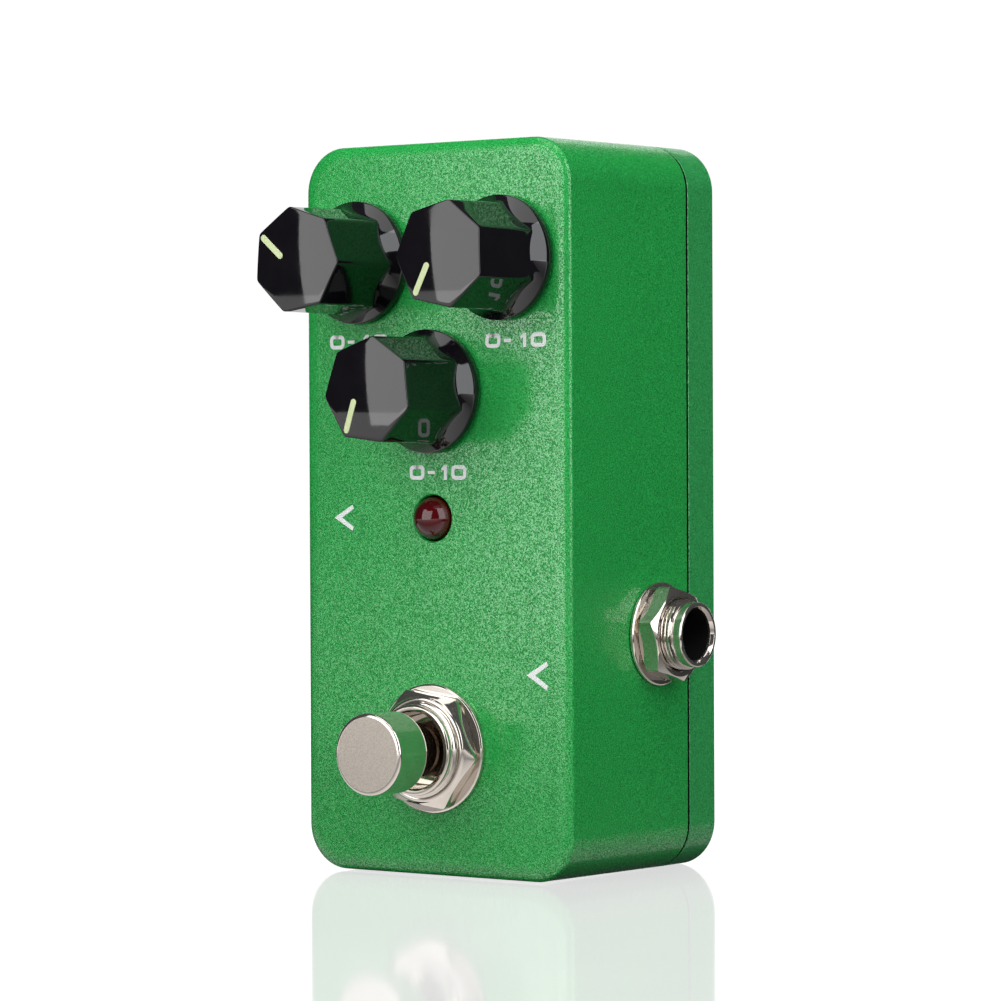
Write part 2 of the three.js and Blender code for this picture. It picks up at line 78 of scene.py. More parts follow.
FRONT = face_matrix((0, shell_low.y, 0), X, Z, -Y)
BACK = face_matrix((0, plate_high.y, 0), -X, Z, Y)
RIGHT = face_matrix((shell_high.x, 0, 0), Y, Z, X)
LEFT = face_matrix((shell_low.x, 0, 0), -Y, Z, -X)
TOP = face_matrix((0, 0, shell_high.z), X, Y, Z)


class Spot:
    """A CAD node's place on one face, in millimetres: its middle x and y, and its lowest and highest z.
    The radius is half its width, and half_height is half its height."""

    def __init__(self, node, face):
        inverse = face.inverted()
        ends = [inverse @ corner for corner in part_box(node)]
        low = Vector(map(min, *ends))
        high = Vector(map(max, *ends))
        self.x = (low.x + high.x) / 2
        self.y = (low.y + high.y) / 2
        self.low = low.z
        self.high = high.z
        self.radius = (high.x - low.x) / 2
        self.half_height = (high.y - low.y) / 2
        self.place = face @ Matrix.Translation((self.x, self.y, 0))


# ---- sizes that only the looks use, in millimetres and radians

WELD_DISTANCE = 1e-7  # in metres: points closer than this are one point
CORNER_RADIUS = 5.95
WALL = 2.0
FRONT_EDGE = (2.2, 1.15)  # half axes of the rounded edge: across the face, down the side
BACK_EDGE = (0.25, 0.25)
SHELL_DRAFT = 0.18
SHELL_RIM = 0.04
PLATE_RIM = 0.18
SEAM_EXTRA = 0.15  # the shell ends this much short of its box, so that the seam reads as a dark line
POST_RADIUS = 3.6
PILOT_RADIUS = 1.7
HOLE_CLEARANCE = 0.3
LED_HOLE_RADIUS = 2.95
LED_RADIUS = 2.75
POWER_HOLE_RADIUS = 4.2
PAD_CORNER = 4.0

KNOB_SIDES = 7
KNOB_BASE_CORNER = 7.0  # from the axis to a corner of the body, at its foot and at its top
KNOB_TOP_CORNER = 6.85
KNOB_CROWN = 0.34  # how far the top falls from its middle to a corner
KNOB_EDGE = 0.17
KNOB_SKIRT = 7.85
POINTER_RISE = 0.06
POINTER_SPAN = (1.75, 6.3)  # from the knob's axis
POINTER_HALF_WIDTH = 0.43
POINTER_LEAN = {"level": 8.0, "drive": -9.0, "tone": 12.0}  # degrees off the radius, about the outer end
CAD_POINTER = (1.9, 5.9)
PRINT_LEVELS = (0.005, 0.035)  # the ink's underside and top, over the face

NUT_CHAMFER = radians(30)
POT_NUT_FLATS = 9.0
SWITCH_NUT_FLATS = 14.0
SWITCH_NUT_TURN = radians(-8)
SWITCH_NUT_DOME = 0.42
JACK_NUT_FLATS = 11.0
JACK_NUT_TURN = radians(45)
JACK_BORE_RADIUS = 3.25

CONTROLS = ("level", "drive", "tone")


# ---- mesh tools


def made(name, vertices, faces, matrix):
    mesh = bpy.data.meshes.new(name)
    mesh.from_pydata([matrix @ Vector(v) for v in vertices], [], faces)
    return mesh


def put(name, data):
    """Adds an object with this data to the scene."""
    added = bpy.data.objects.new(name, data)
    bpy.context.scene.collection.objects.link(added)
    return added


def placed(name, mesh, weld):
    """Puts a mesh in the scene, its faces outwards, and joins the points that coincide if asked."""
    bm = bmesh.new()
    bm.from_mesh(mesh)
    if weld:
        bmesh.ops.remove_doubles(bm, verts=bm.verts, dist=WELD_DISTANCE)
    bmesh.ops.recalc_face_normals(bm, faces=bm.faces)
    bm.to_mesh(mesh)
    bm.free()
    return put(name, mesh)


def dressed(name, mesh, material, sharp=32.0, weighted=True):
    """A finished piece, with sharp edges by angle. If weighted, its flat faces are shaded flat."""
    piece = placed(name, mesh, weld=True)
    mesh.shade_smooth()
    mesh.set_sharp_from_angle(angle=radians(sharp))
    mesh.materials.clear()
    mesh.materials.append(material)
    if weighted:
        modifier = piece.modifiers.new("even_normals", "WEIGHTED_NORMAL")
        modifier.keep_sharp = True
        modifier.weight = 100
    return piece


def finished(name, vertices, faces, matrix, material, sharp=32.0, weighted=True):
    return dressed(name, made(name, vertices, faces, matrix), material, sharp, weighted)


def rows_surface(rows, segments, closed=False, start=0.0):
    """A surface of rows round local z. Each row is (radius, height), and either may be a function of
    the angle. A row of radius 0 closes to one point. With closed=True the last row joins the first."""
    vertices, index = [], []
    for radius, height in rows:
        if radius == 0:
            index.append([len(vertices)] * segments)
            vertices.append((0, 0, height))
            continue
        line = []
        for j in range(segments):
            angle = start + TURN * j / segments
            r = radius(angle) if callable(radius) else radius
            h = height(angle) if callable(height) else height
            line.append(len(vertices))
            vertices.append((r * cos(angle), r * sin(angle), h))
        index.append(line)
    pairs = list(zip(index, index[1:]))
    if closed:
        pairs.append((index[-1], index[0]))
    faces = []
    for lower, upper in pairs:
        for j in range(segments):
            k = (j + 1) % segments
            face = list(dict.fromkeys((lower[j], lower[k], upper[k], upper[j])))
            if len(face) > 2:
                faces.append(face)
    return vertices, faces


def rounded(points):
    """A profile from (radius, height) and (radius, height, fillet) points, where a fillet is an arc."""
    steps, profile = 5, []
    for i, (r, h, *fillets) in enumerate(points):
        if not fillets:
            profile.append((r, h))
            continue
        here, fillet = Vector((r, h)), fillets[0]
        before = (Vector(points[i - 1][:2]) - here).normalized()
        after = (Vector(points[i + 1][:2]) - here).normalized()
        half = before.angle(after) / 2
        reach = fillet / tan(half)
        centre = here + (before + after).normalized() * fillet / sin(half)
        first = here + before * reach - centre
        last = here + after * reach - centre
        sweep = first.angle_signed(last)
        for k in range(steps + 1):
            turned_by = Matrix.Rotation(-sweep * k / steps, 2) @ first
            profile.append(tuple(centre + turned_by))
    return profile


def spun(name, rows, matrix, material, segments, sharp=32.0, closed=True, start=0.0):
    return finished(name, *rows_surface(rows, segments, closed, start), matrix, material, sharp)


def turned(name, points, matrix, material, segments, closed=False, sharp=32.0):
    return spun(name, rounded(points), matrix, material, segments, sharp, closed)


def polygon_radius(flats, sides, turn, sharpness):
    """The radius of a regular polygon with slightly rounded corners, as a function of the angle."""
    middles = [turn + (k + 0.5) * TURN / sides for k in range(sides)]

    def radius(angle):
        total = sum(max(0.0, cos(angle - m)) ** sharpness for m in middles)
        return flats / 2 / total ** (1 / sharpness)

    return radius


def rounded_rectangle(width, height, radius, y_middle, steps=14):
    """Corner arcs of a rounded rectangle, anticlockwise, always with the same number of points."""
    points = []
    for corner, (sx, sy) in enumerate(((1, 1), (-1, 1), (-1, -1), (1, -1))):
        cx, cy = sx * (width / 2 - radius), sy * (height / 2 - radius)
        for k in range(steps + 1):
            angle = (corner + k / steps) * TURN / 4
            points.append((cx + radius * cos(angle), y_middle + cy + radius * sin(angle)))
    return points


def rounded_slot(half_length, half_width):
    """The outline of a straight slot with round ends, lying along x."""
    steps, points = 8, []
    for side in (1, -1):
        for k in range(steps + 1):
            angle = TURN / 4 * (2 * k / steps - 1)
            x = side * (half_length - half_width) + side * half_width * cos(angle)
            points.append((x, side * half_width * sin(angle)))
    return points


def rectangle_outline(half_x, half_y, corner, y_middle=0.0, steps=14):
    """An outline function for outline_extrusion."""
    def outline(grow):
        return rounded_rectangle(2 * (half_x + grow), 2 * (half_y + grow), corner + grow, y_middle, steps)

    return outline


def lofted(rings):
    """Quads between rings of equal length, with flat ends."""
    vertices = [point for ring in rings for point in ring]
    count = len(rings[0])
    faces = []
    for i in range(len(rings) - 1):
        for j in range(count):
            k = (j + 1) % count
            faces.append((i * count + j, i * count + k, (i + 1) * count + k, (i + 1) * count + j))
    faces.append(tuple(range(count))[::-1])
    faces.append(tuple(range(len(vertices) - count, len(vertices))))
    return vertices, faces


def tray(depth, edge, rim, draft=0.0):
    """A box open at z = -depth. Its outer edge is a quarter ellipse, its sides lean in by the draft
    towards the face, its rim is slightly rounded and its inside is hollow."""
    middle = HEIGHT / 2
    across, down = edge
    steps = 12

    def ring(inset, z):
        outline = rounded_rectangle(WIDTH - 2 * inset, HEIGHT - 2 * inset, CORNER_RADIUS - inset, middle)
        return [(x, y, z) for x, y in outline]

    rings = []
    for k in range(steps + 1):
        angle = TURN / 4 * k / steps
        rings.append(ring(draft + across * (1 - sin(angle)), -down * (1 - cos(angle))))
    for k in range(4):
        angle = TURN / 4 * k / 3
        rings.append(ring(rim * (1 - cos(angle)), -depth + rim * (1 - sin(angle))))
    rings.append(ring(WALL, -depth))
    rings.append(ring(WALL, -WALL))
    return lofted(rings)


def boolean(base, tools, operation):
    """Cuts or joins base with each tool mesh, and gives back the new mesh object."""
    for tool in tools:
        modifier = base.modifiers.new("boolean", "BOOLEAN")
        modifier.operation = operation
        modifier.solver = "MANIFOLD"
        modifier.object = tool
        graph = bpy.context.evaluated_depsgraph_get()
        mesh = bpy.data.meshes.new_from_object(base.evaluated_get(graph))
        base.modifiers.clear()
        base.data = mesh
        bpy.data.objects.remove(tool)
    return base


def rough_solid(vertices, faces, matrix):
    """A plain closed mesh object, the start or the tool of a boolean."""
    return placed("tool", made("tool", vertices, faces, matrix), weld=False)


def dressed_solid(name, solid, material):
    """Makes the result of booleans a finished piece."""
    mesh = solid.data
    bpy.data.objects.remove(solid)
    return dressed(name, mesh, material)


def repaint(piece, face, material, chosen):
    """Gives another material to the polygons whose centre, in millimetres on the face, is chosen."""
    piece.data.materials.append(material)
    inverse = face.inverted()
    for polygon in piece.data.polygons:
        if chosen(inverse @ polygon.center):
            polygon.material_index = 1


def turned_tool(points, matrix, segments=64):
    return rough_solid(*rows_surface(rounded(points), segments), matrix)


def thread(root, depth, pitch, low, high):
    """Rows of a screw thread between two heights, which fades out over half a turn at both ends."""
    rows_per_turn, fade = 9, 0.5 * pitch
    count = max(2, round((high - low) / pitch * rows_per_turn))
    rows = []
    for i in range(count + 1):
        height = low + (high - low) * i / count
        strength = min(1.0, (height - low) / fade, (high - height) / fade)

        def radius(angle, height=height, strength=max(0.0, strength)):
            phase = (height / pitch - angle / TURN) % 1.0
            crest = 1 - abs(2 * phase - 1)
            return root + depth * strength * min(1.0, crest * 1.35) ** 0.9

        rows.append((radius, height))
    return rows


def hex_nut_rows(flats, bore, low, high, turn=0.0, dome=0.0):
    """Rows of a hexagon nut: chamfered corners front and back, and a rounded shoulder of height dome."""
    across = polygon_radius(flats, 6, turn, 70.0)
    plain = flats / 2 - 0.12
    slope = tan(NUT_CHAMFER)

    def front(angle):
        return high - dome - max(0.0, across(angle) - plain) * slope

    def rear(angle):
        return low + max(0.0, across(angle) - plain) * slope

    edge = 0.05
    rows = [
        (bore, low + 0.2), (bore + 0.2, low), (plain, low),
        (lambda a: across(a) - edge, rear),
        (across, lambda a: rear(a) + edge),
        (across, lambda a: front(a) - edge),
        (lambda a: across(a) - edge, front),
        (plain, high - dome),
    ]
    if dome:
        for k in range(1, 9):
            angle = TURN / 2 * k / 8
            rows.append((plain - 0.15 - dome + dome * cos(angle), high - dome + dome * sin(angle)))
    rows += [(bore + 0.25, high - dome), (bore, high - dome - 0.25)]
    return rows


def outline_extrusion(outline, low, high, edge):
    """A flat slab of any outline function outline(grow), with both its edges rounded."""
    steps = 4
    turns = [TURN / 4 * k / steps for k in range(steps + 1)]
    levels = [(1 - sin(turn), low + edge * (1 - cos(turn))) for turn in turns]
    levels += [(1 - cos(turn), high - edge * (1 - sin(turn))) for turn in turns]
    return lofted([[(x, y, z) for x, y in outline(-edge * inset)] for inset, z in levels])


def box_tool(matrix, *sections):
    """A box through two rectangles, each (half_x, low_y, high_y, z)."""
    rings = [[(-x, low, z), (x, low, z), (x, high, z), (-x, high, z)] for x, low, high, z in sections]
    return rough_solid(*lofted(rings), matrix)


# ---- material tools


class Graph:
    """The node tree of a new material or world. Most calls add a node and give back its output socket."""

    def __init__(self, name, kind="materials"):
        self.owner = getattr(bpy.data, kind).new(name)
        self.owner.use_nodes = True
        self.tree = self.owner.node_tree
        self.tree.nodes.clear()
        self.place = self.add("TexCoord").outputs["Object"]

    def add(self, kind, inputs=None, **settings):
        """Makes a shader node, then links or sets each of the inputs, which go by name or number."""
        node = self.tree.nodes.new(f"ShaderNode{kind}")
        for key, value in settings.items():
            setattr(node, key, value)
        for key, value in (inputs or {}).items():
            socket = node.inputs[key]
            if isinstance(value, bpy.types.NodeSocket):
                self.tree.links.new(value, socket)
            elif socket.type == "RGBA":
                socket.default_value = (*value, 1)
            else:
                socket.default_value = value
        return node

    def noise(self, scale, detail=2.0, roughness=0.5, vector=None):
        values = {"Vector": vector or self.place, "Scale": scale, "Detail": detail, "Roughness": roughness}
        return self.add("TexNoise", values).outputs["Fac"]

    def cells(self, scale, output="Distance"):
        values = {"Vector": self.place, "Scale": scale}
        return self.add("TexVoronoi", values).outputs[output]

    def ramp(self, value, *stops):
        """A colour ramp through (position, colour) stops."""
        node = self.add("ValToRGB", {"Fac": value})
        elements = node.color_ramp.elements
        while len(elements) < len(stops):
            elements.new(0.5)
        for element, (position, colour) in zip(elements, stops):
            element.position = position
            element.color = (*colour, 1)
        return node.outputs["Color"]

    def blotches(self, scale, detail, dark, light):
        """A colour that drifts between two, in blotches of about 1 / scale metres."""
        return self.ramp(self.noise(scale, detail), (0.3, dark), (0.7, light))

    def spread(self, value, low_in, high_in, low_out, high_out):
        """Maps a value from one range to another, clamped."""
        names = ("Value", "From Min", "From Max", "To Min", "To Max")
        inputs = dict(zip(names, (value, low_in, high_in, low_out, high_out)))
        return self.add("MapRange", inputs).outputs["Result"]

    def math(self, operation, a, b):
        return self.add("Math", {0: a, 1: b}, operation=operation).outputs[0]

    def mix(self, factor, a, b):
        """Mixes two colours. Inputs 6 and 7 and output 2 are the mix node's colour sockets."""
        return self.add("Mix", {"Factor": factor, 6: a, 7: b}, data_type="RGBA").outputs[2]

    def stretched(self, scale):
        """Object coordinates scaled unevenly, for grain that runs one way."""
        return self.add("Mapping", {"Vector": self.place, "Scale": scale}).outputs["Vector"]

    def bump(self, height, strength, distance, normal=None):
        inputs = {"Height": height, "Strength": strength, "Distance": distance}
        if normal:
            inputs["Normal"] = normal
        return self.add("Bump", inputs).outputs["Normal"]

    def output(self, shader, kind="OutputMaterial"):
        """Ends the graph with a shader node, and gives back the material or world."""
        self.add(kind, {"Surface": shader.outputs[0]})
        return self.owner

    def glow(self, colour, strength):
        return self.add("Emission", {"Color": colour, "Strength": strength})

    def surface(self, **values):
        """Ends the graph with the principled shader: base_color stands for its Base Color, and so on."""
        sockets = {k.replace("_", " ").title().replace("Ior", "IOR"): value for k, value in values.items()}
        return self.output(self.add("BsdfPrincipled", sockets))


# ---- materials


def powder_coat(name, body, contrast, grain_bump, roughness):
    """Green powder coat: light and dark grain in colour, gloss and surface, with a slight orange peel.
    The clear coat comes and goes with the grain, which makes the paint sparkle."""
    g = Graph(name)
    grain = g.noise(5600, 1.5, 0.6)
    flake = g.cells(5200, "Color")
    flake_level = g.add("SeparateColor", {"Color": flake}).outputs["Red"]
    deep = tuple(c * (1 - contrast) for c in body)
    light = tuple(c * (1 + contrast) for c in body)
    toned = g.ramp(grain, (0.30, deep), (0.5, body), (0.70, light))
    bright = g.spread(flake_level, 0.90, 1.0, 0.0, 0.4)
    sparkled = g.mix(bright, toned, tuple(c * 1.8 + 0.02 for c in body))
    clouded = g.mix(g.spread(g.noise(60, 2.0), 0.35, 0.65, 0.0, 0.08), sparkled, deep)
    peel = g.bump(g.noise(900, 1.0), 0.10, 0.00006)
    grained = g.bump(grain, grain_bump, 0.00008, peel)
    glint = g.spread(flake_level, 0.5, 1.0, roughness + 0.04, roughness - 0.06)
    return g.surface(
        base_color=clouded,
        roughness=glint,
        normal=grained,
        specular_ior_level=0.15,
        coat_weight=g.spread(grain, 0.44, 0.64, 0.05, 1.0),
        coat_ior=1.9,
        coat_roughness=0.15,
        coat_normal=peel,
    )


def gloss_black():
    """Polished black moulding: a hint of grain, faint hairlines and dust-fine pits."""
    g = Graph("gloss_black")
    tone = g.blotches(300, 3.0, (0.005, 0.004, 0.006), (0.008, 0.0065, 0.009))
    hairlines = g.noise(1.0, 2.0, 0.5, g.stretched((900, 9000, 900)))
    smudge = g.spread(g.noise(140, 3.0), 0.45, 0.75, 0.035, 0.085)
    rough = g.math("ADD", smudge, g.spread(hairlines, 0.62, 0.8, 0.0, 0.03))
    pits = g.bump(g.noise(2600, 2.0), 0.02, 0.00002)
    return g.surface(base_color=tone, roughness=rough, normal=pits, ior=1.58)


def cream_inlay():
    """Pale yellow-green moulding, which lets a little light in."""
    g = Graph("cream_inlay")
    tone = g.blotches(1800, 3.0, (0.70, 0.83, 0.42), (0.80, 0.90, 0.53))
    return g.surface(
        base_color=tone,
        roughness=g.spread(g.noise(900), 0.3, 0.7, 0.38, 0.52),
        normal=g.bump(g.noise(3000, 2.0), 0.12, 0.00003),
        subsurface_weight=0.15,
        subsurface_radius=(0.4, 0.5, 0.2),
        subsurface_scale=0.001,
    )


def bright_nickel():
    """Nickel plate: warm, mirror bright, with faint scratches and a cloudy patch here and there."""
    g = Graph("bright_nickel")
    tone = g.blotches(220, 4.0, (0.60, 0.55, 0.49), (0.72, 0.67, 0.61))
    scratches = g.noise(1.0, 2.0, 0.6, g.stretched((7000, 700, 7000)))
    cloud = g.spread(g.noise(350, 3.0), 0.4, 0.75, 0.055, 0.14)
    rough = g.math("ADD", cloud, g.spread(scratches, 0.60, 0.78, 0.0, 0.10))
    waves = g.bump(g.noise(700, 2.0), 0.05, 0.00003)
    scratched = g.bump(scratches, 0.03, 0.00001, waves)
    return g.surface(base_color=tone, metallic=0.93, roughness=rough, normal=scratched)


def satin_nickel():
    """The button's face: sand-fine matt plating with soft vertical streaks."""
    g = Graph("satin_nickel")
    sand = g.noise(4200, 3.0, 0.7)
    streaks = g.noise(1.0, 2.0, 0.5, g.stretched((1900, 1900, 420)))
    tone = g.ramp(sand, (0.3, (0.40, 0.362, 0.318)), (0.72, (0.605, 0.548, 0.484)))
    rough = g.math("ADD", g.spread(streaks, 0.3, 0.7, 0.34, 0.44), g.spread(sand, 0.3, 0.7, 0.0, 0.06))
    return g.surface(base_color=tone, metallic=1.0, roughness=rough, normal=g.bump(sand, 0.35, 0.00003))


def turned_metal(name, dark, light, roughness):
    """Machined or drawn metal with fine lines one way and blotchy tarnish."""
    g = Graph(name)
    lines = g.noise(1.0, 2.0, 0.6, g.stretched((5000, 5000, 600)))
    tarnish = g.math("MULTIPLY", g.noise(260, 4.0), g.spread(lines, 0.2, 0.8, 0.85, 1.15))
    tone = g.ramp(tarnish, (0.3, dark), (0.7, light))
    rough = g.spread(lines, 0.3, 0.75, roughness - 0.07, roughness + 0.10)
    return g.surface(base_color=tone, metallic=1.0, roughness=rough, normal=g.bump(lines, 0.12, 0.00002))


def moulded_plastic(name, dark, light, roughness, specular=0.5):
    """Moulded plastic with spark-eroded texture and slight flow marks."""
    g = Graph(name)
    tone = g.blotches(120, 3.0, dark, light)
    texture = g.noise(3200, 2.0, 0.6)
    return g.surface(
        base_color=tone,
        roughness=g.spread(g.noise(420, 2.0), 0.3, 0.7, roughness - 0.06, roughness + 0.08),
        normal=g.bump(texture, 0.25, 0.00004),
        specular_ior_level=specular,
    )


def red_lens():
    """Dark red epoxy, glossy and a little clear, with a cloudy tone and painted inner light under the dome.
    """
    g = Graph("red_lens")
    facing = g.add("LayerWeight", {"Blend": 0.35}).outputs["Facing"]
    # Painted light: the red is brighter where the dome faces the view and darker towards its edge, standing
    # for light seen through the epoxy.
    depth = g.ramp(facing, (0.0, (0.11, 0.0025, 0.005)), (0.75, (0.035, 0.0008, 0.002)))
    cloudy = g.mix(g.spread(g.noise(500, 3.0), 0.4, 0.7, 0.0, 0.35), depth, (0.14, 0.006, 0.010))
    return g.surface(
        base_color=cloudy,
        roughness=g.spread(g.noise(300, 2.0), 0.3, 0.7, 0.03, 0.07),
        transmission_weight=0.15,
        ior=1.54,
        normal=g.bump(g.noise(1500, 2.0), 0.02, 0.00002),
    )


def soft_rubber():
    """Black rubber with a dimpled, dusty surface."""
    g = Graph("soft_rubber")
    tone = g.blotches(160, 4.0, (0.010, 0.010, 0.010), (0.024, 0.023, 0.022))
    dimples = g.cells(1400)
    dust = g.mix(g.spread(g.noise(900, 4.0), 0.62, 0.8, 0.0, 0.35), tone, (0.10, 0.095, 0.09))
    return g.surface(
        base_color=dust,
        roughness=g.spread(g.noise(700, 2.0), 0.3, 0.7, 0.72, 0.92),
        normal=g.bump(dimples, 0.5, 0.00012),
        sheen_weight=0.15,
    )


def circuit_board():
    """Solder mask over copper: paler bands where the tracks run under the lacquer."""
    g = Graph("circuit_board")
    bricks = {"Vector": g.place, "Scale": 420.0, "Mortar Size": 0.03, "Brick Width": 1.4, "Row Height": 0.35}
    tracks = g.add("TexBrick", bricks).outputs["Fac"]
    base = g.blotches(300, 3.0, (0.006, 0.055, 0.020), (0.012, 0.090, 0.034))
    tone = g.mix(tracks, base, (0.02, 0.17, 0.06))
    relief = g.bump(tracks, 0.2, 0.00003)
    return g.surface(base_color=tone, roughness=0.35, coat_weight=0.4, coat_roughness=0.2, normal=relief)


def white_print():
    """Silk-screened ink, slightly porous."""
    g = Graph("white_print")
    tone = g.ramp(g.noise(2500, 3.0), (0.28, (0.90, 0.94, 0.92)), (0.55, (0.97, 1.0, 0.98)))
    return g.surface(base_color=tone, roughness=0.55, normal=g.bump(g.noise(4300, 3.0), 0.3, 0.00004))


green_front = powder_coat("green_powder_coat", (0.021, 0.400, 0.073), 0.45, 0.9, 0.25)
green_back = powder_coat("green_powder_coat_back", (0.036, 0.37, 0.095), 0.5, 0.7, 0.36)
black = gloss_black()
cream = cream_inlay()
nickel = bright_nickel()
button_face = satin_nickel()
steel = turned_metal("satin_steel", (0.38, 0.37, 0.35), (0.58, 0.57, 0.55), 0.32)
yellow_brass = turned_metal("yellow_brass", (0.52, 0.38, 0.15), (0.72, 0.55, 0.27), 0.30)
stem_bronze = turned_metal("stem_bronze", (0.15, 0.105, 0.07), (0.27, 0.20, 0.14), 0.28)
can_metal = turned_metal("pot_can_metal", (0.42, 0.43, 0.44), (0.60, 0.61, 0.62), 0.38)
black_housing = moulded_plastic("black_housing", (0.010, 0.010, 0.011), (0.022, 0.022, 0.024), 0.5)
# Near-black finish: the jack bodies' own black plastic, and painted shade on the seam faces and down the
# jack bores.
shade_and_plastic_black = moulded_plastic("black_plastic_and_painted_shade", (0.004, 0.004, 0.004), (0.008, 0.008, 0.008), 0.75, 0.15)
relay_cream = moulded_plastic("relay_cream", (0.60, 0.58, 0.50), (0.74, 0.72, 0.64), 0.45)
sleeve_blue = moulded_plastic("capacitor_sleeve", (0.012, 0.018, 0.055), (0.024, 0.034, 0.095), 0.28)
red = red_lens()
rubber = soft_rubber()
board = circuit_board()
ink = white_print()


def keep(piece, body="case", node=None):
    """The piece rides on a body and stands for a CAD node, which is hidden. The node X of a
    piece called X_looks needs no mention."""
    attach(piece, body)
    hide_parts(node or piece.name.removesuffix("_looks"))


# ---- enclosure


def screw_places(face):
    return [Spot(f"back_plate_screw_{i}", face).place for i in (1, 2, 3, 4)]


def screw_post(place, depth):
    """The post round a screw, from inside the wall down to just short of the seam."""
    foot = 0.2 - depth
    profile = [(0, foot), (POST_RADIUS, foot, 0.3), (POST_RADIUS, -WALL / 2), (0, -WALL / 2)]
    return turned_tool(profile, place)


def paint_seam_shade(piece, face, depth):
    """The seam faces get painted shade: the near-black finish stands for the shade in the seam."""
    repaint(piece, face, shade_and_plastic_black, lambda centre: centre.z < 0.02 - depth)


def enclosure_shell():
    """The die-cast shell: a tray with screw posts joined on, and holes with slightly rolled edges."""
    rim_depth = SHELL_DEPTH - SEAM_EXTRA
    shell = rough_solid(*tray(rim_depth, FRONT_EDGE, SHELL_RIM, SHELL_DRAFT), FRONT)
    posts, holes = [], []
    for place in screw_places(FRONT):
        posts.append(screw_post(place, SHELL_DEPTH))
        mouth, end = -SHELL_DEPTH - 1, -SHELL_DEPTH + 9
        pilot = [(0, mouth), (PILOT_RADIUS, mouth), (PILOT_RADIUS, end), (0, end)]
        holes.append(turned_tool(pilot, place, 32))

    def hole(node, face, radius=None, roll=0.3):
        """A round hole through the wall round a node, which widens to a rolled edge at the outside."""
        spot = Spot(node, face)
        radius = radius or spot.radius + HOLE_CLEARANCE
        profile = [
            (0, -WALL - 1), (radius, -WALL - 1), (radius, -roll, roll * 0.9),
            (radius + roll, 0.02), (radius + roll, 1), (0, 1),
        ]
        holes.append(turned_tool(profile, spot.place))

    for control in CONTROLS:
        hole(f"{control}_pot_bushing", FRONT)
    hole("footswitch_bushing", FRONT)
    hole("indicator_lens", FRONT, LED_HOLE_RADIUS, 0.18)
    hole("input_jack_sleeve", RIGHT)
    hole("output_jack_sleeve", LEFT)
    hole("power_socket_pin", TOP, POWER_HOLE_RADIUS)

    shell = boolean(shell, posts, "UNION")
    shell = boolean(shell, holes, "DIFFERENCE")
    shell = dressed_solid("enclosure_shell_looks", shell, green_front)
    paint_seam_shade(shell, FRONT, rim_depth)
    keep(shell)


def back_plate():
    """The back tray, with a post and a countersunk hole for each screw and a recess for the pad."""
    plate = rough_solid(*tray(PLATE_DEPTH, BACK_EDGE, PLATE_RIM), BACK)
    pad = Spot("anti_slip_pad", BACK)
    posts, holes = [], []
    for place in screw_places(BACK):
        posts.append(screw_post(place, PLATE_DEPTH))
        inside = -PLATE_DEPTH - 1
        shank = [(0, inside), (PILOT_RADIUS, inside), (PILOT_RADIUS, -1.3)]
        holes.append(turned_tool([*shank, (2.95, -0.05, 0.1), (3.1, 1), (0, 1)], place, 48))

    half_x, half_y = pad.radius + HOLE_CLEARANCE, pad.half_height + HOLE_CLEARANCE
    recess = rectangle_outline(half_x, half_y, PAD_CORNER + HOLE_CLEARANCE, HEIGHT / 2)
    holes.append(rough_solid(*outline_extrusion(recess, -0.9, 1.0, 0.15), BACK))
    plate = boolean(plate, posts, "UNION")
    plate = boolean(plate, holes, "DIFFERENCE")
    plate = dressed_solid("back_plate_looks", plate, green_back)
    paint_seam_shade(plate, BACK, PLATE_DEPTH)
    keep(plate)


def back_plate_screw(number):
    """A countersunk cross-recess screw with a threaded shank."""
    spot = Spot(f"back_plate_screw_{number}", BACK)
    tip = spot.low
    rows = [(0, tip), (0.55, tip), (0.95, tip + 0.6)]
    rows += thread(1.02, 0.36, 0.5, tip + 0.8, -2.4)
    rows += [(1.25, -2.1), (1.3, -1.45)]
    rows += rounded([(1.3, -1.45), (2.7, -0.12, 0.06), (2.5, -0.02, 0.1), (0, -0.02)])[1:]
    screw = rough_solid(*rows_surface(rows, 48), spot.place)
    tools = []
    for turn in (0, TURN / 4):
        tilt = Matrix.Rotation(turn + radians(18 * number), 4, "Z")
        tools.append(box_tool(spot.place @ tilt, (1.35, -0.32, 0.32, 0.3), (0.5, -0.20, 0.20, -0.95)))
    screw = boolean(screw, tools, "DIFFERENCE")
    keep(dressed_solid(f"back_plate_screw_{number}_looks", screw, steel))


def anti_slip_pad():
    """A rubber sheet with rounded edges and shallow grooves moulded across it."""
    spot = Spot("anti_slip_pad", BACK)
    outline = rectangle_outline(spot.radius, spot.half_height, PAD_CORNER, spot.y)
    pad = rough_solid(*outline_extrusion(outline, spot.low, spot.high, 0.35), BACK)
    grooves = []
    pitch, count = 5.2, 12
    for i in range(count):
        y = spot.y + (i - (count - 1) / 2) * pitch

        def slot(grow, y=y):
            return [(x, y + dy) for x, dy in rounded_slot(spot.radius - 3.2 + grow, 0.55 + grow)]

        grooves.append(rough_solid(*outline_extrusion(slot, spot.high - 0.4, spot.high + 1, 0.1), BACK))
    pad = boolean(pad, grooves, "DIFFERENCE")
    keep(dressed_solid("anti_slip_pad_looks", pad, rubber))


# ---- controls


def skirt_radius(height, base):
    """The knob's flared skirt: a plain rim, then a slightly hollow cone up to the seven-sided body."""
    above = height - base - 0.95
    if above <= 0:
        return KNOB_SKIRT
    if above > 4.4:
        return 0.0
    return KNOB_SKIRT - 0.10 - above * 0.853 + 0.0864 * above * above


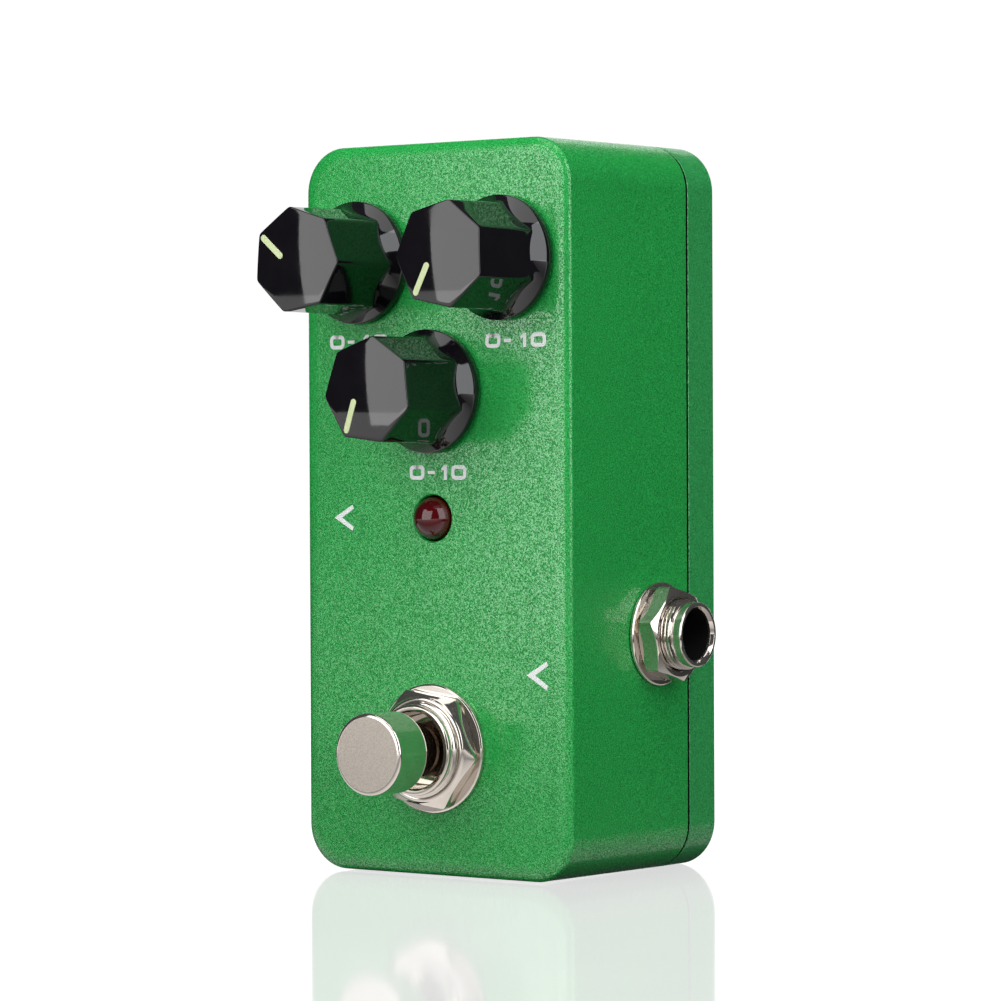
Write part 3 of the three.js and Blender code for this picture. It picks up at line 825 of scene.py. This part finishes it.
def knob(control):
    """A seven-sided body on a flared round skirt, with an inlaid pointer. The fine shape is turned so
    that the middle of its pointer lies where the CAD pointer's middle does."""
    spot = Spot(f"{control}_knob", FRONT)
    shaft = Spot(f"{control}_pot_shaft", FRONT)
    pointer = Spot(f"{control}_knob_pointer", FRONT)
    lean = radians(POINTER_LEAN[control])
    start, end = CAD_POINTER
    reach = (end - start) / 2
    middle_angle = atan2(-reach * sin(lean), end - reach * cos(lean))
    angle = atan2(pointer.y - shaft.y, pointer.x - shaft.x) - middle_angle
    place = shaft.place @ Matrix.Rotation(angle, 4, "Z")
    base, top, skirt = spot.low, spot.high, KNOB_SKIRT
    unit = polygon_radius(2 * cos(pi / KNOB_SIDES), KNOB_SIDES, 0.0, 60.0)

    def body(height):
        share = (height - base) / (top - base)
        return KNOB_BASE_CORNER + (KNOB_TOP_CORNER - KNOB_BASE_CORNER) * share

    def side(height):
        """The larger of body and skirt, with a small fillet where they meet."""
        cone, size, blend = skirt_radius(height, base), body(height), 0.10

        def radius(a):
            flat = size * unit(a)
            gap = (flat - cone) / blend
            return max(flat, cone) if abs(gap) > 8 else cone + blend * log(1 + exp(gap))

        return radius

    def crown(radius):
        """Height of the slightly domed top."""
        return top - KNOB_CROWN * (radius / KNOB_TOP_CORNER) ** 2

    def rim(a):
        return KNOB_TOP_CORNER * unit(a) - KNOB_EDGE

    rows = [
        (0, 9.3), (2.9, 9.3), (2.9, 2.8), (5.7, 2.8), (5.7, base + 0.1), (5.8, base), (skirt - 0.12, base),
        (skirt - 0.03, base + 0.04), (skirt, base + 0.12), (skirt, base + 0.5), (skirt, base + 0.83),
        (skirt - 0.03, base + 0.91), (skirt - 0.10, base + 0.955),
    ]
    height = base + 1.0
    while height < base + 5.4:
        rows.append((side(height), height))
        height += 0.06
    rows += [(side(h), h) for h in (base + 6.2, base + 8.0, base + 9.8, top - 1.2)]
    for k in range(6):
        turn = TURN / 4 * k / 5
        out, rise = KNOB_EDGE * cos(turn), KNOB_EDGE * (sin(turn) - 1)
        rows.append((lambda a, o=out: rim(a) + o, lambda a, r=rise: crown(rim(a)) + r))
    for k in range(1, 14):
        share = 1 - k / 14
        rows.append((lambda a, s=share: rim(a) * s, lambda a, s=share: crown(rim(a) * s)))
    rows.append((0, top))
    surface = rows_surface(rows, KNOB_SIDES * 32)
    piece = finished(f"{control}_knob_looks", *surface, place, black, 24, weighted=False)
    keep(piece, f"{control}_control")

    start, end = POINTER_SPAN

    def outline(grow):
        """A straight slot whose outer end lies on the corner's radius and which leans about that end."""
        away = (end - start) / 2
        slot = [(x - away, y) for x, y in rounded_slot(away + grow, POINTER_HALF_WIDTH + grow)]
        along, across = cos(lean), sin(lean)
        return [(end + x * along - y * across, x * across + y * along) for x, y in slot]

    inlay_vertices, inlay_faces = outline_extrusion(outline, top - 0.85, top + POINTER_RISE, 0.05)
    tilted = []
    for x, y, z in inlay_vertices:
        drop = KNOB_CROWN * (hypot(x, y) / KNOB_TOP_CORNER) ** 2
        tilted.append((x, y, z - drop if z > top - 0.5 else z))
    inlay = finished(f"{control}_pointer_looks", tilted, inlay_faces, place, cream)
    keep(inlay, f"{control}_control", f"{control}_knob_pointer")


def pot_nut(control):
    spot = Spot(f"{control}_pot_nut", FRONT)
    rows = hex_nut_rows(POT_NUT_FLATS, 3.55, spot.low - 0.28, spot.high)
    keep(spun(f"{control}_pot_nut_looks", rows, spot.place, steel, 72))


# ---- footswitch


def footswitch():
    """Washer, domed nut and threaded bushing on the case; button and stem on the plunger."""
    bushing = Spot("footswitch_bushing", FRONT)
    cap = Spot("footswitch_cap", FRONT)
    stem = Spot("footswitch_stem", FRONT)
    place = bushing.place

    washer = [(6.4, 0), (8.1, 0, 0.05), (8.2, 0.12, 0.05), (8.2, 0.62, 0.12), (8.0, 0.78, 0.1), (6.4, 0.78)]
    keep(turned("footswitch_washer_looks", washer, place, nickel, 128, closed=True))

    rows = hex_nut_rows(SWITCH_NUT_FLATS, 6.15, 0.8, 2.95, SWITCH_NUT_TURN, SWITCH_NUT_DOME)
    piece = spun("footswitch_nut_looks", rows, place, nickel, 144, 28, start=SWITCH_NUT_TURN)
    keep(piece, node="footswitch_outer_nut")

    top = bushing.high
    end_ring = rounded([
        (5.72, top - 0.92), (5.78, top - 0.75, 0.05), (5.78, top - 0.16, 0.16), (5.5, top, 0.12),
        (5.05, top, 0.12), (4.92, top - 0.25, 0.1), (4.92, -1.0),
    ])
    rows = [(3.5, bushing.low), (5.8, bushing.low)]
    rows += thread(5.66, 0.44, 0.50, bushing.low + 0.1, top - 0.95)
    rows += end_ring[1:] + [(3.5, -1.0)]
    keep(spun("footswitch_bushing_looks", rows, place, nickel, 144, 40))

    low, face, wide = cap.low, cap.high - 0.02, cap.radius
    cap_profile = [
        (0, 10.0), (3.7, 10.0), (3.7, low), (wide - 0.42, low, 0.1), (wide - 0.08, low + 0.12, 0.2),
        (wide, low + 0.45, 0.2), (wide, face, 0.42), (wide - 0.5, face), (0, face),
    ]
    piece = turned("footswitch_cap_looks", cap_profile, place, nickel, 160, sharp=40)

    def on_button_face(centre):
        from_axis = hypot(centre.x - bushing.x, centre.y - bushing.y)
        return centre.z > face - 0.01 and from_axis < wide - 0.5

    repaint(piece, FRONT, button_face, on_button_face)
    keep(piece, "footswitch_plunger")

    hollow = stem.low + 3.0  # the stem's foot is hollow, so that it clears the spring when pressed
    stem_profile = [
        (0, hollow), (3.2, hollow), (3.22, stem.low), (3.4, stem.low), (3.4, 3.2, 0.05),
        (3.15, 3.45, 0.05), (3.15, 4.05, 0.05), (3.4, 4.3, 0.05), (3.4, stem.high), (0, stem.high),
    ]
    piece = turned("footswitch_stem_looks", stem_profile, place, stem_bronze, 96)
    keep(piece, "footswitch_plunger")


# ---- indicator


def indicator():
    """A five-millimetre lamp: flange, straight body and dome, seated in its hole."""
    spot = Spot("indicator_lens", FRONT)
    tip, radius, flange = spot.high, LED_RADIUS, spot.radius
    rows = [(0, spot.low), (flange - 0.3, spot.low), (flange, spot.low + 0.25), (flange, spot.low + 0.8)]
    rows += [(flange - 0.15, spot.low + 1.0), (radius, spot.low + 1.05), (radius, tip - radius)]
    for k in range(1, 21):
        angle = TURN / 4 * k / 20
        rows.append((radius * cos(angle) if k < 20 else 0, tip - radius + radius * sin(angle)))
    keep(spun("indicator_lens_looks", rows, spot.place, red, 96, closed=False))


# ---- jacks and power socket


def jack(side, face):
    """Washer, nut and threaded sleeve, with a smooth ring round the dark plug bore."""
    sleeve = Spot(f"{side}_jack_sleeve", face)
    place = sleeve.place

    washer = [(4.8, 0), (6.5, 0, 0.05), (6.6, 0.1, 0.05), (6.6, 0.42, 0.1), (6.42, 0.55, 0.08), (4.8, 0.55)]
    keep(turned(f"{side}_jack_washer_looks", washer, place, nickel, 112, closed=True))

    rows = hex_nut_rows(JACK_NUT_FLATS, 4.55, 0.58, 3.45, JACK_NUT_TURN)
    keep(spun(f"{side}_jack_nut_looks", rows, place, nickel, 144, 28, start=JACK_NUT_TURN))

    top = sleeve.high
    bore = JACK_BORE_RADIUS
    rows = [(bore, sleeve.low), (4.2, sleeve.low)]
    rows += thread(4.06, 0.40, 0.55, sleeve.low + 0.1, top - 1.25)
    rows += rounded([
        (4.06, top - 1.22), (4.14, top - 1.10, 0.05), (4.14, top - 0.14, 0.14), (3.95, top, 0.1),
        (3.62, top, 0.1), (bore + 0.06, top - 0.42, 0.15), (bore, top - 0.7), (bore, sleeve.low),
    ])[1:-1]
    piece = spun(f"{side}_jack_sleeve_looks", rows, place, nickel, 144, 40)

    def in_bore(centre):
        from_axis = hypot(centre.x - sleeve.x, centre.y - sleeve.y)
        return centre.z < top - 0.5 and from_axis < bore + 0.02

    # The bore's inside gets the near-black finish: partly the jack's own black plastic inside the sleeve,
    # partly painted shade deep in the bore.
    repaint(piece, face, shade_and_plastic_black, in_bore)
    keep(piece)


def power_socket():
    """The socket's moulded body: a round nose with a chamfered mouth, and a block behind the wall."""
    body = Spot("power_socket_body", TOP)
    pin = Spot("power_socket_pin", TOP)
    place = pin.place
    block_top, block_low = -2.3, body.low

    outline = rectangle_outline(body.radius, body.half_height, 0.7, steps=4)
    block = rough_solid(*outline_extrusion(outline, block_low, block_top, 0.3), place)
    nose = turned_tool([(0, block_top - 1), (3.9, block_top - 1), (3.9, 0, 0.25), (0, 0)], place)
    mouth = [(0, -10.5), (2.9, -10.5), (2.9, -0.45, 0.1), (3.25, 0), (3.3, 1), (0, 1)]
    block = boolean(block, [nose], "UNION")
    tools = [
        turned_tool(mouth, place),
        turned_tool([(0, block_low - 1), (1.3, block_low - 1), (1.3, 1), (0, 1)], place, 32),
        box_tool(place, (1.5, 2.3, 5.7, -10.0), (1.5, 2.3, 5.7, -3.8)),
    ]
    block = boolean(block, tools, "DIFFERENCE")
    block = dressed_solid("power_socket_looks", block, black_housing)
    keep(block, node="power_socket_body")

    low, high = pin.low, pin.high
    profile = [(0, low), (1.0, low), (1.0, high - 0.45, 0.2), (0.6, high, 0.2), (0, high)]
    keep(turned("power_socket_pin_looks", profile, place, nickel, 48))


# ---- print on the control face


def printed(name, outlines):
    """Ink a few hundredths of a millimetre thick, one closed slab for each outline."""
    vertices, faces = [], []
    for outline in outlines:
        offset = len(vertices)
        points, sides = lofted([[(x, y, z) for x, y in outline] for z in PRINT_LEVELS])
        vertices += points
        caps_first = sides[-2:] + sides[:-2]  # this settles the normals where the halves of a 0 touch
        faces += [tuple(offset + corner for corner in side) for side in caps_first]
    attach(finished(name, vertices, faces, FRONT, ink, 30, weighted=False), "case")


def arrow(name, tip_x, middle_y, length, half_height, stroke):
    """A chevron that points left, along the way the signal runs."""
    slope = hypot(length, half_height)
    end_x = length + 0.62 * stroke * half_height / slope
    end_y = half_height - 0.95 * stroke * length / slope
    inner_x = stroke * slope / half_height
    upper = [(inner_x, 0), (end_x, end_y), (length, half_height)]
    lower = [(x, -y) for x, y in upper]
    outline = [(0, 0), *lower[:0:-1], *upper]
    printed(name, [[(tip_x + x, middle_y + y) for x, y in outline]])


def zero_halves(width, height, stroke, middle_y):
    """The figure 0 as a rounded square ring, in a right and a left half."""
    steps, radius = 6, 0.62
    outer = rounded_rectangle(width, height, radius, middle_y, steps)
    inner = rounded_rectangle(width - 2 * stroke, height - 2 * stroke, radius - 0.4, middle_y, steps)
    count = steps + 1

    def right(points):
        half = points[3 * count:] + points[:count]
        return [(0, half[0][1])] + half + [(0, half[-1][1])]

    outline = right(outer) + right(inner)[::-1]
    return [outline, [(-x, y) for x, y in outline]]


def dial_numbers(name, middle_x, base_y, height, width):
    """The dial's end numbers, 0 to 10, in wide bold figures."""
    stroke, zero = 0.48, 2.35
    one = [
        (0.24, 0), (0.24, height), (-0.2, height), (-0.62, height - 0.42),
        (-0.62, height - 0.85), (-0.24, height - 0.55), (-0.24, 0),
    ]
    low, high = height / 2 - 0.2, height / 2 + 0.2
    dash = [(-0.55, low), (0.55, low), (0.55, high), (-0.55, high)]
    halves = zero_halves(zero, height, stroke, height / 2)
    left = -width / 2
    figures = (
        (left + zero / 2, halves), (left + zero + 1.1, [dash]),
        (-left - zero - 0.95, [one]), (-left - zero / 2, halves),
    )
    outlines = []
    for x, parts in figures:
        outlines += [[(middle_x + x + dx, base_y + y) for dx, y in part] for part in parts]
    printed(name, outlines)


# ---- carried-over CAD nodes


def finish_cad_nodes():
    """Inner pieces keep their CAD shape and get a finish by material slot."""
    finishes = dict(
        steel=steel, chrome=nickel, brass=yellow_brass, pot_can=can_metal, board_green=board,
        housing_black=black_housing, relay_cream=relay_cream, cap_sleeve=sleeve_blue,
    )
    slots = {row["node"]: row["material_slot"] for row in frame["record"]["subparts"]}
    for name, node in frame["nodes"].items():
        if node.hide_render:
            continue
        material = finishes[slots[name]]
        if name in ("input_jack_body", "output_jack_body"):
            material = shade_and_plastic_black
        node.data.materials.clear()
        node.data.materials.append(material)


# ---- floor, lights and camera, in metres and degrees

CAMERA_AZIMUTH = 36.53
CAMERA_ELEVATION = 0.657
CAMERA_ROLL = -0.247
CAMERA_DISTANCE = 0.5386
CAMERA_TARGET = Vector((-0.00142, 0, 0.04767))
CAMERA_LENS = 148.78  # in millimetres

WHITE = (1, 1, 1)
WHITE_RADIANCE = 1.02  # just enough for pure white in the picture
PEDAL_MIDDLE = Vector((0, 0, 0.05))
ONE_FACE = [(0, 1, 2, 3)]


def outward(azimuth, elevation):
    """A unit vector away from the pedal. Azimuth 0 is straight in front, positive to the right."""
    a, e = radians(azimuth), radians(elevation)
    return Vector((sin(a) * cos(e), -cos(a) * cos(e), sin(e)))


def sideways(azimuth):
    """A unit vector to the right, as seen from the azimuth."""
    a = radians(azimuth)
    return Vector((cos(a), sin(a), 0))


def on_stage(name, vertices, faces, material, hidden_from=()):
    """A piece of the studio, which the named kinds of ray pass by."""
    piece = finished(name, vertices, faces, Matrix.Identity(4), material, weighted=False)
    for ray in hidden_from:
        setattr(piece, f"visible_{ray}", False)


def pale_table():
    """A pale table top, lit from within, with a soft reflection near the pedal."""
    g = Graph("pale_table")
    grain = g.blotches(30, 3.0, (0.11, 0.11, 0.11), (0.13, 0.13, 0.13))
    diffuse = g.add("BsdfDiffuse", {"Color": grain}).outputs[0]
    lit = g.add("AddShader", {0: diffuse, 1: g.glow(WHITE, 1.08).outputs[0]}).outputs[0]
    gloss = g.add("BsdfGlossy", {"Color": WHITE, "Roughness": 0.08}).outputs[0]
    distance = g.add("VectorMath", {0: g.place}, operation="LENGTH").outputs["Value"]
    shine = g.spread(distance, 0.13, 0.30, 0.40, 0.0)
    return g.output(g.add("MixShader", {"Fac": shine, 1: lit, 2: gloss}))


def floor():
    """The table is seen by the camera alone; bounce cards stand in for its light on the pedal."""
    size, thickness = 1.1, 0.004
    surface = rows_surface([(0, -thickness), (size, -thickness), (size, 0), (0, 0)], 96)
    on_stage("floor", *surface, pale_table(), hidden_from=("diffuse", "glossy"))


def bounce_card(name, corner, opposite, along, radiances):
    """A card just under the table, seen only in the pedal's gloss; its light changes along one axis."""
    name = f"bounce_card_{name}"
    g = Graph(name)
    ends = [point["XY".index(along)] for point in (corner, opposite)]
    position = g.add("SeparateXYZ", {"Vector": g.place}).outputs[along]
    material = g.output(g.glow((1, 0.97, 0.97), g.spread(position, *ends, *radiances)))
    (x0, y0), (x1, y1) = corner, opposite
    corners = [(x, y, -0.006) for x, y in ((x0, y0), (x1, y0), (x1, y1), (x0, y1))]
    on_stage(name, corners, ONE_FACE, material, hidden_from=("camera", "diffuse", "shadow"))


def flag():
    """A card that keeps some of the left softbox off the foot of the front: only its shadow shows."""
    material = Graph("black_flag").surface(base_color=(0.01, 0.01, 0.01), roughness=0.9)
    left, right, y = -0.30, 0.02, -0.12
    corners = [(left, y, 0), (right, y, 0), (right, y, 0.03), (left, y, 0.13)]
    unseen = ("camera", "diffuse", "glossy", "transmission")
    on_stage("flag_card", corners, ONE_FACE, material, hidden_from=unseen)


def backdrop():
    """A white card far behind the pedal, square to the camera: it shows in the table's reflection."""
    g = Graph("white_card")
    material = g.output(g.glow(WHITE, WHITE_RADIANCE))
    middle = -outward(CAMERA_AZIMUTH, 0) * 1.3
    left, right = (middle + sideways(CAMERA_AZIMUTH) * half for half in (-0.5, 0.5))
    low, high = -0.3, 0.9
    corners = [(*left.xy, low), (*right.xy, low), (*right.xy, high), (*left.xy, high)]
    on_stage("backdrop_card", corners, ONE_FACE, material)


def softbox(name, azimuth, elevation, distance, size, radiance, colour=WHITE, glossy=True):
    """A rectangular light aimed at the pedal's middle."""
    out = outward(azimuth, elevation)
    data = bpy.data.lights.new(name, "AREA")
    data.shape = "RECTANGLE"
    data.size, data.size_y = size
    data.energy = radiance * 4 * size[0] * size[1]  # the watts that give this radiance
    data.color = colour
    lamp = put(name, data)
    lamp.location = PEDAL_MIDDLE + out * distance
    lamp.rotation_euler = out.to_track_quat("Z", "Y").to_euler()
    lamp.visible_camera = False
    lamp.visible_glossy = glossy


def white_world():
    """The camera sees white all round; everything else sees a dim, slightly blue room."""
    g = Graph("studio", "worlds")
    room = g.add("Background", {"Color": (0.9, 0.95, 1.0), "Strength": 0.045}).outputs[0]
    white = g.add("Background", {"Color": WHITE, "Strength": WHITE_RADIANCE}).outputs[0]
    seen = g.add("LightPath").outputs["Is Camera Ray"]
    mixed = g.add("MixShader", {"Fac": seen, 1: room, 2: white})
    bpy.context.scene.world = g.output(mixed, "OutputWorld")


def camera():
    out, right = outward(CAMERA_AZIMUTH, CAMERA_ELEVATION), sideways(CAMERA_AZIMUTH)
    up = out.cross(right)
    roll = radians(CAMERA_ROLL)
    rolled_right = right * cos(roll) + up * sin(roll)
    rolled_up = up * cos(roll) - right * sin(roll)
    data = bpy.data.cameras.new("camera")
    data.sensor_width = 36
    data.lens = CAMERA_LENS
    data.clip_start = 0.01
    view = put("camera", data)
    turn = Matrix((rolled_right, rolled_up, out)).transposed().to_4x4()
    view.matrix_world = Matrix.Translation(CAMERA_TARGET + out * CAMERA_DISTANCE) @ turn
    bpy.context.scene.camera = view


# ---- the pedal

camera()
bpy.context.scene.view_settings.view_transform = "Standard"

enclosure_shell()
back_plate()
for screw_number in (1, 2, 3, 4):
    back_plate_screw(screw_number)
anti_slip_pad()
for control_name in CONTROLS:
    knob(control_name)
    pot_nut(control_name)
footswitch()
indicator()
jack("input", RIGHT)
jack("output", LEFT)
power_socket()

arrow("output_arrow", tip_x=-16.1, middle_y=45.6, length=2.95, half_height=1.68, stroke=0.62)
arrow("input_arrow", tip_x=14.5, middle_y=26.1, length=3.1, half_height=1.8, stroke=0.66)
dial_numbers("level_numbers", middle_x=13.0, base_y=67.05, height=1.8, width=9.4)
dial_numbers("drive_numbers", middle_x=-12.0, base_y=67.3, height=1.8, width=9.4)
dial_numbers("tone_numbers", middle_x=0.7, base_y=50.5, height=1.85, width=9.0)

finish_cad_nodes()
floor()
flag()
bounce_card("far", (-1.0, -0.40), (1.0, -1.0), along="Y", radiances=(1.25, 1.25))
bounce_card("middle", (-1.0, -0.09), (1.0, -0.40), along="Y", radiances=(0.30, 1.25))
bounce_card("near", (-0.2, -0.018), (0.2, -0.09), along="Y", radiances=(1.2, 0.35))
bounce_card("left", (-0.023, -0.018), (-0.095, 0.10), along="X", radiances=(0.65, 0.0))
bounce_card("right", (0.023, -0.018), (0.095, 0.10), along="X", radiances=(0.65, 0.0))
backdrop()
white_world()
softbox("left_front_softbox", -10.5, 15, distance=0.60, size=(0.60, 0.60), radiance=2.25)
softbox("right_softbox", 74, 25, distance=0.50, size=(0.33, 0.53), radiance=2.4, colour=(0.95, 0.98, 1.0))
softbox("top_softbox", 20, 76, distance=0.38, size=(0.36, 0.32), radiance=1.3)
softbox("back_softbox", 214, 32, distance=0.60, size=(0.55, 0.40), radiance=2.2, glossy=False)
